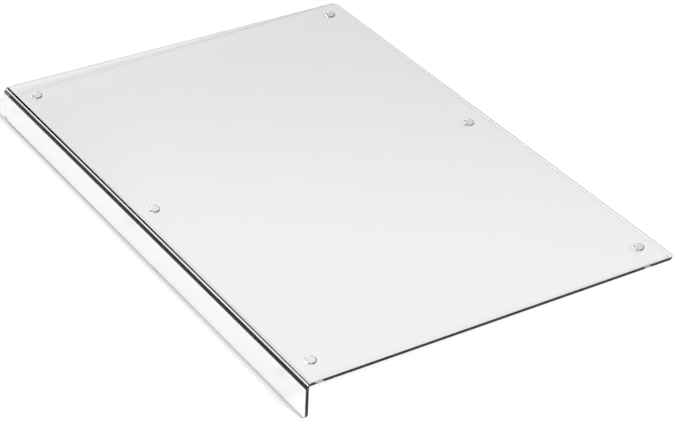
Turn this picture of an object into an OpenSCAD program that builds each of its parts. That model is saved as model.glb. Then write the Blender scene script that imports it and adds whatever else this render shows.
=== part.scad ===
// Clear countertop board: one flat acrylic panel whose front is bent down into a lip, on six
// clear bumper feet. The lip hooks over the counter's front edge, so that the board can't slide
// back, and the feet stand on the counter.
// The origin is where the counter's front top edge goes: at the middle of the lip's inner face,
// level with the soles of the feet. +X runs along the lip, +Y runs back over the counter.

/* [Board] */
// Width of the board along the lip
board_w = 610; // [450:1:900]
// Depth from the lip's outer face to the back edge
board_d = 419.5; // [300:0.5:600]
// Thickness of the sheet
sheet_t = 3.2; // [2.6:0.1:5]
// Radius of the panel's two back corners
corner_r = 6.4; // [2:0.1:15]

/* [Lip] */
// Height of the lip, from the panel's top face to the lip's lower edge
lip_h = 39.5; // [25:0.5:60]
// Outer radius of the bend between panel and lip, where the heated sheet has stretched thinner
bend_outer_r = 7.5; // [4:0.1:9]
// Inner radius of the bend
bend_inner_r = 1.2; // [0.5:0.1:3]
// Radius of the lip's two lower corners
lip_corner_r = 6.4; // [2:0.1:10]

/* [Feet] */
// Diameter of a foot where it meets the board
foot_d = 11.4; // [9:0.1:16]
// Height of a foot, without its adhesive
foot_h = 3.3; // [2.5:0.1:6]
// Radius of the round shoulder between a foot's side and its sole
shoulder_r = 2.4; // [0.6:0.1:2.4]
// Diameter of the adhesive disc that holds a foot
adhesive_d = 10.8; // [6:0.1:16]
// Thickness of the adhesive disc
adhesive_t = 0.2; // [0.1:0.05:0.5]

/* [Foot places] */
// Distance of the front feet from the lip's outer face
front_inset = 25; // [22:0.5:60]
// Distance of the back corner feet from the back edge
back_inset = 19; // [10:0.5:60]
// Distance of the middle back foot from the back edge
back_middle_inset = 23; // [10:0.5:60]
// Distance of the front left foot from the board's left side
front_left_inset = 29; // [10:0.5:60]
// Distance of the back left foot from the board's left side
back_left_inset = 19.5; // [10:0.5:60]
// Distance of both right feet from the board's right side
right_inset = 32.5; // [10:0.5:60]
// How far the middle front foot is stuck to the left of the middle
front_middle_offset = 17; // [0:0.5:40]
// How far the middle back foot is stuck to the left of the middle
back_middle_offset = 6; // [0:0.5:40]

/* [Hidden] */
$fn = 96;
over = 1;
panel_z = foot_h + adhesive_t;
panel_top_z = panel_z + sheet_t;
lip_z = panel_top_z - lip_h;
back_y = board_d - sheet_t;
side_x = board_w / 2;
foot_r = foot_d / 2;
front_y = front_inset - sheet_t;
FEET = ["front_left", "front_middle", "front_right", "back_left", "back_middle", "back_right"];
foot_places = [
    [front_left_inset - side_x, front_y],
    [-front_middle_offset, front_y],
    [side_x - right_inset, front_y],
    [back_left_inset - side_x, back_y - back_inset],
    [-back_middle_offset, back_y - back_middle_inset],
    [side_x - right_inset, back_y - back_inset]
];

// A w by h rectangle from the origin up and to the right, whose upper left corner is rounded
module round_corner_block(w, h, r) {
    translate([r, 0]) square([w - r, h]);
    square([w, h - r]);
    translate([r, h - r]) circle(r);
}

// Cross-section of the bent sheet: the drawing's X is the board's Y, and its Y is the board's Z
module sheet_section() {
    difference() {
        translate([-sheet_t, lip_z]) round_corner_block(board_d, lip_h, bend_outer_r);
        translate([0, lip_z - over])
            round_corner_block(back_y + over, panel_z - lip_z + over, bend_inner_r);
    }
}

// A w by h rectangle centred on X, from Y = 0 up, whose two upper corners are rounded
module round_top_rectangle(w, h, r) {
    translate([-w / 2, 0]) square([w, h - r]);
    translate([r - w / 2, 0]) square([w - 2 * r, h]);
    for (side = [-1, 1]) translate([side * (w / 2 - r), h - r]) circle(r);
}

module board() {
    color([0.90, 0.92, 0.94, 0.35]) intersection() {
        translate([-side_x, 0, 0]) rotate([90, 0, 90]) linear_extrude(board_w) sheet_section();
        // the panel's outline from above
        translate([0, -sheet_t, lip_z - over]) linear_extrude(lip_h + 2 * over)
            round_top_rectangle(board_w, board_d, corner_r);
        // the lip's outline from the front, with its round corners at the bottom
        translate([0, -sheet_t - over, panel_top_z]) rotate([-90, 0, 0])
            linear_extrude(board_d + 2 * over) round_top_rectangle(board_w, lip_h, lip_corner_r);
    }
}

// A bumper foot, sole down at z = 0
module foot(place) {
    color([0.82, 0.86, 0.90, 0.6]) translate(place) rotate_extrude() {
        square([foot_r - shoulder_r, foot_h]);
        translate([0, shoulder_r]) square([foot_r, foot_h - shoulder_r]);
        intersection() {
            translate([foot_r - shoulder_r, shoulder_r]) circle(shoulder_r);
            square([foot_r, foot_h]);
        }
    }
}

// The thin clear adhesive between a foot and the panel
module adhesive(place) {
    color([0.92, 0.93, 0.90, 0.6]) translate([place.x, place.y, foot_h])
        cylinder(d = adhesive_d, h = adhesive_t);
}

board();
for (i = [0 : len(FEET) - 1]) {
    foot(foot_places[i]);
    adhesive(foot_places[i]);
}
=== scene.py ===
"""Clear bent-acrylic countertop board with a front lip and six clear bumper feet."""

import math

import bpy
from mathutils import Matrix, Vector


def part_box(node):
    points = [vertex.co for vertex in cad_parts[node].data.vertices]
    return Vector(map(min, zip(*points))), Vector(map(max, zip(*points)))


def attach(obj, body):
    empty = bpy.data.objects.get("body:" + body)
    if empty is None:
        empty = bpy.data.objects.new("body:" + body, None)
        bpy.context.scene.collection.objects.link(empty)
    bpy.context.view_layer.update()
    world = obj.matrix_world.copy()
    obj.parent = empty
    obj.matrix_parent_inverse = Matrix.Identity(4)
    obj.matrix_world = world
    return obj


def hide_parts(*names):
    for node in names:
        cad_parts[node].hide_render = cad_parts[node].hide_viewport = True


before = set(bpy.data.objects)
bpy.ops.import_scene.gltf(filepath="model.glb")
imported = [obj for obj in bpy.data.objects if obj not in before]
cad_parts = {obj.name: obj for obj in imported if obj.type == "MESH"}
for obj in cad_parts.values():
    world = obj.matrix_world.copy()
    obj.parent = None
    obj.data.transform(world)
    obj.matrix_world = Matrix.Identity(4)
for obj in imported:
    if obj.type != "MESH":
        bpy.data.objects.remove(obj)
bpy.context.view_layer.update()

MM = 0.001

# ---------------------------------------------------------------- sizes taken from the frame

board_low, board_high = (Vector(corner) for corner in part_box("board"))
board_w = board_high.x - board_low.x
sheet_t = -board_low.y
panel_top = board_high.z
panel_z = panel_top - sheet_t
foot_names = [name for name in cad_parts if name.startswith("foot_")]

# ---------------------------------------------------------------- sizes that the boxes don't show

OUTER_R = 7.5 * MM           # outer radius of the bend
INNER_R = 1.2 * MM           # inner radius of the bend
CORNER_R = 6.4 * MM          # round corners of the cut sheet
ARRIS_R = 0.35 * MM          # polished arris round every cut edge
SHOULDER_R = 2.4 * MM        # round shoulder between a foot's side and its sole
RIM_R = 0.25 * MM            # small round at the foot's upper rim
DIMPLE_R = 1.9 * MM          # shallow moulded dimple in the middle of the sole
DIMPLE_DEPTH = 0.2 * MM
NECK_INSET = 0.5 * MM        # how far the bonded face keeps inside the foot's rim
BOND = 0.02 * MM             # how far bonded pieces reach into each other, so that no air film shows
SHARP = 40                   # edges of the feet sharper than this, in degrees, stay sharp
FLOOR_GAP = 0.1 * MM         # how far below the board the floor lies
BEND_STEPS = 40
CORNER_STEPS = 12
ARRIS_STEPS = 4
SHOULDER_STEPS = 14
RIM_STEPS = 4
TURN_STEPS = 64

# ---------------------------------------------------------------- camera

CAMERA_AZ = 55.98               # where it stands, and its roll, in degrees
CAMERA_EL = 32.20
CAMERA_ROLL = 2.57
CAMERA_DISTANCE = 3.6363        # in board widths, from the point that it aims at
AIM_ACROSS = 0.1339             # that point, in board widths right of the middle and back from the lip
AIM_BACK = 0.2924
AIM_SHIFT = 0.49 * MM           # and moved this much up and left in the picture
LENS = 119.62
SENSOR = 36

# ---------------------------------------------------------------- materials

TINT = (0.965, 0.966, 0.976)    # what the sheet lets through
WAVE_HEIGHT = 30e-6             # relief of the sheet: long waves, ripples by the bend, hairline scratches
RIPPLE_HEIGHT = 9e-6
SCRATCH_DEPTH = 0.25e-6
RIPPLE_FULL = 4 * MM            # the ripples fade away between these distances from the bend
RIPPLE_GONE = 16 * MM
STROKE_HEIGHT = 1.2e-6          # relief of the cut edge: fine upright strokes, and a slow swell
SWELL_HEIGHT = 8e-6
SKIN_HEIGHT = 6e-6              # relief of a foot's skin
GLUE_HEIGHT = 4e-6              # relief of the adhesive
ACRYLIC_IOR = 1.49
RUBBER_IOR = 1.41
GLUE_IOR = 1.01                 # against the pieces that it joins, not against air
RUBBER_TINT = (0.97, 0.975, 0.98)
GLUE_TINT = (0.98, 0.98, 0.975)
FACE_PASS = 0.96                # what one clear face lets through to the floor, before its tint
EDGE_PASS = (0.5, 0.5, 0.5)     # what a cut edge lets through to the floor
GRAZE = 18                      # how sharply a clear face turns dark where light only grazes it

# ---------------------------------------------------------------- light

KEY = 4.25                      # the key lamp: strength, and size, azimuth and elevation in degrees
KEY_SIZE = 11
KEY_AZ = 97
KEY_EL = 42
TOP = 0.55                      # the overhead cap, which fades in between these elevations
TOP_FROM = 45
TOP_TO = 70
PANEL = 0.7                     # the soft panel behind the board: brightness, middle, and how far it fades
PANEL_AZ = -127
PANEL_IN = 8
PANEL_OUT = 14
PANEL_FROM = 27
PANEL_TO = 34
WALL = 0.6                      # pale walls all round, which fade out between these elevations
WALL_FROM = 20
WALL_TO = 30
GAP = 0.2                       # the darker gap in the walls below the panel
GAP_AZ = -135
GAP_IN = 14
GAP_OUT = 26
BACKDROP = 1.2                  # the white backdrop that is seen directly and straight through the sheet


def fold_faces(zone, s):
    """At place s in a zone of the sheet: its outer and inner face points (y, z), and the normal's turn."""
    if zone == "lip":
        z = board_low.z + s
        return (-sheet_t, z), (0, z), 0
    if zone == "panel":
        y = board_high.y - s
        return (y, panel_top), (y, panel_z), math.pi / 2
    c, d = math.cos(s), math.sin(s)
    outer = (OUTER_R - sheet_t - OUTER_R * c, panel_top - OUTER_R + OUTER_R * d)
    inner = (INNER_R - INNER_R * c, panel_z - INNER_R + INNER_R * d)
    return outer, inner, s


def fold_rows():
    """Rows across the sheet, from the lip's edge to the back edge.

    Each is a zone, a place there, a half width, and the outline's normal (across, along) at the right.
    """
    half_w = board_w / 2
    rows = []
    for k in range(CORNER_STEPS + 1):
        a = math.pi / 2 * k / CORNER_STEPS
        c, d = math.cos(a), math.sin(a)
        rows.append(("lip", CORNER_R * (1 - c), half_w - CORNER_R * (1 - d), d, -c))
    for k in range(BEND_STEPS + 1):
        rows.append(("bend", math.pi / 2 * k / BEND_STEPS, half_w, 1, 0))
    for k in range(CORNER_STEPS + 1):
        a = math.pi / 2 * k / CORNER_STEPS
        c, d = math.cos(a), math.sin(a)
        rows.append(("panel", CORNER_R * (1 - d), half_w - CORNER_R * (1 - c), c, d))
    return rows


def arris_profile():
    """Across the cut edge from the outer face to the inner face: inset, depth, and its normal (out, up)."""
    profile = []
    for k in range(ARRIS_STEPS + 1):
        a = math.pi / 2 * k / ARRIS_STEPS
        c, d = math.cos(a), math.sin(a)
        profile.append((ARRIS_R * (1 - d), ARRIS_R * (1 - c), d, c))
    return profile + [(inset, sheet_t - depth, out, -up) for inset, depth, out, up in reversed(profile)]


def make_board(material, edge):
    """The bent sheet: rings of points down its cut edge, closed by the outer and the inner face."""
    rows = fold_rows()
    outline = rows + [(zone, s, -u, -nu, nv) for zone, s, u, nu, nv in reversed(rows)]
    count = len(outline)
    points, normals = [], []
    for inset, depth, out, up in arris_profile():
        for zone, s, u, nu, nv in outline:
            outer, inner, turn = fold_faces(zone, s)
            share = depth / sheet_t
            y, z = (o + share * (i - o) for o, i in zip(outer, inner))
            point = Vector((u, y, z))
            normal = Vector((0, -math.cos(turn), math.sin(turn)))
            along = Vector((0, math.sin(turn), math.cos(turn)))
            side = nu * Vector((1, 0, 0)) + nv * along
            points.append(point - inset * side)
            normals.append((out * side + up * normal).normalized())
    rings = len(points) // count
    faces = []
    for ring in range(rings - 1):
        for k in range(count):
            a, b = ring * count + k, ring * count + (k + 1) % count
            faces.append((a, a + count, b + count, b))
    last = (rings - 1) * count
    for k in range(len(rows) - 1):
        left, left_next = count - 1 - k, count - 2 - k
        faces.append((left, k, k + 1, left_next))
        faces.append((last + k, last + left, last + left_next, last + k + 1))
    mesh = bpy.data.meshes.new("board_sheet")
    mesh.from_pydata([tuple(p) for p in points], [], faces)
    mesh.validate()
    for k, polygon in enumerate(mesh.polygons):
        polygon.use_smooth = True
        polygon.material_index = 1 if k < (rings - 1) * count else 0
    mesh.normals_split_custom_set_from_vertices(normals)
    piece = bpy.data.objects.new("board_sheet", mesh)
    bpy.context.scene.collection.objects.link(piece)
    mesh.materials.append(material)
    mesh.materials.append(edge)
    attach(piece, "root")
    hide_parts("board")


def lathe(name, outline, centre, material):
    """A solid turned about the vertical through centre, from (radius, z) points that end at radius 0."""
    points, faces = [], []
    for r, z in outline:
        if r == 0:
            points.append((centre[0], centre[1], z))
            continue
        for k in range(TURN_STEPS):
            a = 2 * math.pi * k / TURN_STEPS
            points.append((centre[0] + r * math.cos(a), centre[1] + r * math.sin(a), z))
    last = len(points) - 1
    bands = len(outline) - 2
    for k in range(TURN_STEPS):
        k2 = (k + 1) % TURN_STEPS
        faces.append((0, 1 + k2, 1 + k))
        for band in range(bands - 1):
            a = 1 + band * TURN_STEPS
            b = a + TURN_STEPS
            faces.append((a + k, a + k2, b + k2, b + k))
        a = 1 + (bands - 1) * TURN_STEPS
        faces.append((a + k, a + k2, last))
    mesh = bpy.data.meshes.new(name)
    mesh.from_pydata(points, [], faces)
    mesh.validate()
    for polygon in mesh.polygons:
        polygon.use_smooth = True
    mesh.set_sharp_from_angle(angle=math.radians(SHARP))
    mesh.materials.append(material)
    piece = bpy.data.objects.new(name, mesh)
    bpy.context.scene.collection.objects.link(piece)
    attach(piece, "root")
    return piece


def arc(centre_r, centre_z, r, start, end, steps):
    """Points on a round stretch, from angle start to end in degrees."""
    angles = [math.radians(start + (end - start) * k / steps) for k in range(steps + 1)]
    return [(centre_r + r * math.cos(a), centre_z + r * math.sin(a)) for a in angles]


def make_foot(name, material):
    """A domed bumper foot, sole down, with a shallow dimple in its sole."""
    low, high = (Vector(c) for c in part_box(name))
    r = (high.x - low.x) / 2
    outline = [(0, low.z + DIMPLE_DEPTH), (0.6 * DIMPLE_R, low.z + 0.65 * DIMPLE_DEPTH), (DIMPLE_R, low.z)]
    outline += arc(r - SHOULDER_R, low.z + SHOULDER_R, SHOULDER_R, -90, 0, SHOULDER_STEPS)
    outline += arc(r - RIM_R, high.z - RIM_R, RIM_R, 0, 90, RIM_STEPS)
    outline += [(r - NECK_INSET, high.z), (r - NECK_INSET, panel_z + BOND), (0, panel_z + BOND)]
    piece = lathe("bumper_" + name[5:], outline, (low + high) / 2, material)
    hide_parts(name)


def make_adhesive(name, material):
    """The adhesive disc, kept clear of the faces it bonds by BOND, so that no two faces coincide."""
    low, high = (Vector(c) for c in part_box(name))
    r = (high.x - low.x) / 2
    top = high.z - BOND
    bottom = low.z + BOND
    outline = [(0, bottom), (0.97 * r, bottom), (r, (bottom + top) / 2), (0.97 * r, top), (0, top)]
    piece = lathe("pad_" + name[9:], outline, (low + high) / 2, material)
    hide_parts(name)


def aim(azimuth, elevation):
    """The direction from the board to a place at this azimuth and elevation."""
    return Vector((math.sin(azimuth) * math.cos(elevation),
                   -math.cos(azimuth) * math.cos(elevation),
                   math.sin(elevation)))


def place_camera():
    """A long lens from the right, in front of the lip, looking down on the panel."""
    azimuth = math.radians(CAMERA_AZ)
    elevation = math.radians(CAMERA_EL)
    roll = math.radians(CAMERA_ROLL)
    distance = CAMERA_DISTANCE * board_w
    target = Vector((AIM_ACROSS * board_w, AIM_BACK * board_w - sheet_t, panel_top))
    back = aim(azimuth, elevation)
    level_right = Vector((math.cos(azimuth), math.sin(azimuth), 0))
    level_up = back.cross(level_right)
    right = math.cos(roll) * level_right + math.sin(roll) * level_up
    up = -math.sin(roll) * level_right + math.cos(roll) * level_up
    target += AIM_SHIFT * (up - right)
    camera = bpy.data.cameras.new("camera")
    camera.lens = LENS
    camera.sensor_width = SENSOR
    camera.clip_end = 50
    holder = bpy.data.objects.new("camera", camera)
    turn = Matrix((right, up, back)).transposed().to_4x4()
    holder.matrix_world = Matrix.Translation(target + distance * back) @ turn
    bpy.context.scene.collection.objects.link(holder)
    bpy.context.scene.camera = holder


class Nodes:
    """A few short words for building a node tree."""

    def __init__(self, tree):
        self.tree = tree

    def add(self, kind, **settings):
        node = self.tree.nodes.new(kind)
        for name, value in settings.items():
            setattr(node, name, value)
        return node

    def feed(self, socket, value):
        if isinstance(value, bpy.types.NodeSocket):
            self.tree.links.new(value, socket)
        else:
            socket.default_value = value

    def math(self, operation, *values):
        node = self.add("ShaderNodeMath", operation=operation)
        for socket, value in zip(node.inputs, values):
            self.feed(socket, value)
        return node.outputs[0]

    def place(self, stretch=(1, 1, 1), turn=0.0):
        """The point's place in the frame, in metres, stretched and then turned about the vertical."""
        node = self.add("ShaderNodeMapping")
        self.tree.links.new(self.add("ShaderNodeTexCoord").outputs["Object"], node.inputs["Vector"])
        node.inputs["Rotation"].default_value = (0, 0, turn)
        node.inputs["Scale"].default_value = stretch
        return node.outputs[0]

    def split(self, vector):
        node = self.add("ShaderNodeSeparateXYZ")
        self.feed(node.inputs[0], vector)
        return node.outputs

    def noise(self, place, scale, detail):
        node = self.add("ShaderNodeTexNoise")
        self.feed(node.inputs["Vector"], place)
        node.inputs["Scale"].default_value = scale
        node.inputs["Detail"].default_value = detail
        return node.outputs[0]

    def line(self, value, width):
        """1 along the thin contour where value is 0.5, and 0 away from it."""
        off = self.math("ABSOLUTE", self.math("SUBTRACT", value, 0.5))
        return self.ramp(off, 0, width, 1, 0)

    def blend(self, share, low, high):
        node = self.add("ShaderNodeMix", data_type="RGBA")
        self.feed(node.inputs[0], share)
        node.inputs[6].default_value = (*low, 1)
        node.inputs[7].default_value = (*high, 1)
        return node.outputs[2]

    def bump(self, height):
        node = self.add("ShaderNodeBump")
        node.inputs["Strength"].default_value = 1
        node.inputs["Distance"].default_value = 1
        self.feed(node.inputs["Height"], height)
        return node.outputs[0]

    def ramp(self, value, low, high, to_low, to_high):
        node = self.add("ShaderNodeMapRange", interpolation_type="SMOOTHSTEP")
        for name, v in (("Value", value), ("From Min", low), ("From Max", high),
                        ("To Min", to_low), ("To Max", to_high)):
            self.feed(node.inputs[name], v)
        return node.outputs["Result"]


def clear_material(name, ior, roughness, tint):
    """A clear material: itself, its nodes and its shader."""
    material = bpy.data.materials.new(name)
    material.use_nodes = True
    shader = material.node_tree.nodes["Principled BSDF"]
    shader.inputs["Base Color"].default_value = (*tint, 1)
    shader.inputs["Transmission Weight"].default_value = 1
    shader.inputs["Roughness"].default_value = roughness
    shader.inputs["IOR"].default_value = ior
    return material, Nodes(material.node_tree), shader


def pass_light(n, shader, tint):
    """Lets lamp light and bounced light straight through, dimmed by tint, to light what is below."""
    graze = n.math("POWER", n.add("ShaderNodeLayerWeight").outputs["Facing"], GRAZE)
    clear = n.add("ShaderNodeBsdfTransparent")
    n.feed(clear.inputs["Color"], n.blend(graze, tuple(FACE_PASS * math.sqrt(c) for c in tint), (0, 0, 0)))
    path = n.add("ShaderNodeLightPath")
    surface = shader.outputs[0]
    for kind in ("Is Shadow Ray", "Is Diffuse Ray"):
        mix = n.add("ShaderNodeMixShader")
        n.feed(mix.inputs[0], path.outputs[kind])
        n.tree.links.new(surface, mix.inputs[1])
        n.tree.links.new(clear.outputs[0], mix.inputs[2])
        surface = mix.outputs[0]
    n.tree.links.new(surface, n.tree.nodes["Material Output"].inputs["Surface"])


def shades(n, shader, tint, spread, scale):
    """Cloudy variation of the tint, by spread either way, in patches of about 1/scale metres."""
    patch = n.noise(n.place(), scale, 3)
    low = tuple(c - spread for c in tint)
    high = tuple(min(1, c + spread) for c in tint)
    n.feed(shader.inputs["Base Color"], n.blend(patch, low, high))


def make_acrylic():
    """The cast sheet's two faces."""
    material, n, shader = clear_material("acrylic", ACRYLIC_IOR, 0.0, TINT)
    shades(n, shader, TINT, 0.006, 9)
    place = n.place()
    along, up = n.split(place)[1:]
    # cast sheet is never quite flat: long shallow waves
    waves = n.noise(place, 7, 1)
    # hairline wiping scratches in two crossing directions, on the faces only
    hair_a = n.line(n.noise(n.place((6, 260, 40), 0.35), 9, 2), 0.012)
    hair_b = n.line(n.noise(n.place((240, 9, 40), 0.9), 8, 2), 0.010)
    scratches = n.math("ADD", hair_a, hair_b)
    # heating the fold leaves ripples across it, which die away within a finger's width
    near = n.ramp(n.math("ABSOLUTE", n.math("SUBTRACT", along, up)), RIPPLE_FULL, RIPPLE_GONE, 1, 0)
    ripple = n.math("MULTIPLY", n.noise(n.place((1, 0.2, 0.2)), 42, 2), near)
    height = n.math("ADD", n.math("MULTIPLY", waves, WAVE_HEIGHT),
                    n.math("MULTIPLY", ripple, RIPPLE_HEIGHT))
    height = n.math("SUBTRACT", height, n.math("MULTIPLY", scratches, SCRATCH_DEPTH))
    n.feed(shader.inputs["Normal"], n.bump(height))
    pass_light(n, shader, TINT)
    return material


def make_edge():
    """The cut edge, flame polished over the saw's fine upright strokes."""
    tint = tuple(c - 0.03 for c in TINT)
    material, n, shader = clear_material("acrylic_edge", ACRYLIC_IOR, 0.02, tint)
    shades(n, shader, tint, 0.02, 120)
    strokes = n.noise(n.place((1, 1, 0.08)), 900, 2)
    swell = n.noise(n.place((1, 1, 0.3)), 55, 2)
    height = n.math("ADD", n.math("MULTIPLY", strokes, STROKE_HEIGHT),
                    n.math("MULTIPLY", swell, SWELL_HEIGHT))
    n.feed(shader.inputs["Normal"], n.bump(height))
    pass_light(n, shader, EDGE_PASS)
    return material


def make_rubber():
    """Clear polyurethane: a little cloudy, with a faint orange-peel skin."""
    material, n, shader = clear_material("bumper", RUBBER_IOR, 0.1, RUBBER_TINT)
    shades(n, shader, RUBBER_TINT, 0.015, 400)
    n.feed(shader.inputs["Normal"], n.bump(n.math("MULTIPLY", n.noise(n.place(), 1500, 2), SKIN_HEIGHT)))
    pass_light(n, shader, RUBBER_TINT)
    return material


def make_glue():
    """The adhesive: it hardly bends light, and is faintly mottled."""
    material, n, shader = clear_material("adhesive", GLUE_IOR, 0.0, GLUE_TINT)
    shades(n, shader, GLUE_TINT, 0.02, 700)
    n.feed(shader.inputs["Normal"], n.bump(n.math("MULTIPLY", n.noise(n.place(), 900, 2), GLUE_HEIGHT)))
    pass_light(n, shader, (1, 1, 1))
    return material


def make_floor():
    """The pale plane that the board lies on: under the lip's inner lower edge and the back feet's soles."""
    reach = max(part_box(name)[1][1] for name in foot_names)
    slope = math.atan2(-board_low.z, reach)
    bpy.ops.mesh.primitive_plane_add(size=30)
    floor = bpy.context.object
    floor.name = "floor"
    floor.matrix_world = (Matrix.Translation((0, 0, board_low.z - FLOOR_GAP))
                          @ Matrix.Rotation(slope, 4, "X"))
    material = bpy.data.materials.new("floor")
    material.use_nodes = True
    shader = material.node_tree.nodes["Principled BSDF"]
    shader.inputs["Base Color"].default_value = (0.9, 0.9, 0.9, 1)
    shader.inputs["Roughness"].default_value = 1
    shader.inputs["Specular IOR Level"].default_value = 0
    floor.data.materials.append(material)


def make_key():
    """The lamp: it shines from the right, slightly from behind the lip."""
    sun = bpy.data.lights.new("key", "SUN")
    sun.energy = KEY
    sun.angle = math.radians(KEY_SIZE)
    holder = bpy.data.objects.new("key", sun)
    way = aim(math.radians(KEY_AZ), math.radians(KEY_EL))
    holder.matrix_world = way.to_track_quat("Z", "Y").to_matrix().to_4x4()
    bpy.context.scene.collection.objects.link(holder)


def make_world():
    """A soft cap overhead, a soft panel behind and pale walls with a gap, in front of a white backdrop."""
    world = bpy.data.worlds.new("studio")
    bpy.context.scene.world = world
    world.use_nodes = True
    n = Nodes(world.node_tree)
    way = n.add("ShaderNodeTexCoord").outputs["Generated"]
    across, along, height = n.split(way)
    up = n.math("ARCSINE", height)
    round_about = n.math("ARCTAN2", across, n.math("MULTIPLY", along, -1))

    def above(start, end, low, high):
        """Fades from low to high between these elevations."""
        return n.ramp(up, math.radians(start), math.radians(end), low, high)

    def beside(azimuth, start, end, near, far):
        """Fades from near to far between these angles either side of an azimuth."""
        aside = n.math("ABSOLUTE", n.math("SUBTRACT", round_about, math.radians(azimuth)))
        return n.ramp(aside, math.radians(start), math.radians(end), near, far)

    overhead = above(TOP_FROM, TOP_TO, 0, TOP)
    behind = n.math("MULTIPLY", beside(PANEL_AZ, PANEL_IN, PANEL_OUT, PANEL, 0),
                    above(PANEL_FROM, PANEL_TO, 0, 1))
    behind = n.math("MULTIPLY", behind, above(TOP_FROM, TOP_TO, 1, 0))
    wall = n.math("MULTIPLY", beside(GAP_AZ, GAP_IN, GAP_OUT, GAP, WALL),
                  above(WALL_FROM, WALL_TO, 1, 0))
    studio = n.math("ADD", n.math("ADD", overhead, behind), wall)
    # the backdrop is seen directly and straight through the clear pieces, and lights nothing
    path = n.add("ShaderNodeLightPath")
    turned = n.math("ADD", path.outputs["Diffuse Depth"], path.outputs["Glossy Depth"])
    through = n.math("MULTIPLY", path.outputs["Is Transmission Ray"], n.math("LESS_THAN", turned, 0.5))
    seen = n.math("MAXIMUM", path.outputs["Is Camera Ray"], through)
    level = n.math("ADD", n.math("MULTIPLY", seen, BACKDROP),
                   n.math("MULTIPLY", n.math("SUBTRACT", 1, seen), studio))
    background = world.node_tree.nodes["Background"]
    background.inputs["Color"].default_value = (1, 1, 1, 1)
    n.feed(background.inputs["Strength"], level)


bpy.context.scene.view_settings.view_transform = "Standard"
place_camera()
make_floor()
make_key()
make_world()
make_board(make_acrylic(), make_edge())
rubber = make_rubber()
glue = make_glue()
for name in foot_names:
    make_foot(name, rubber)
    make_adhesive(name.replace("foot_", "adhesive_"), glue)
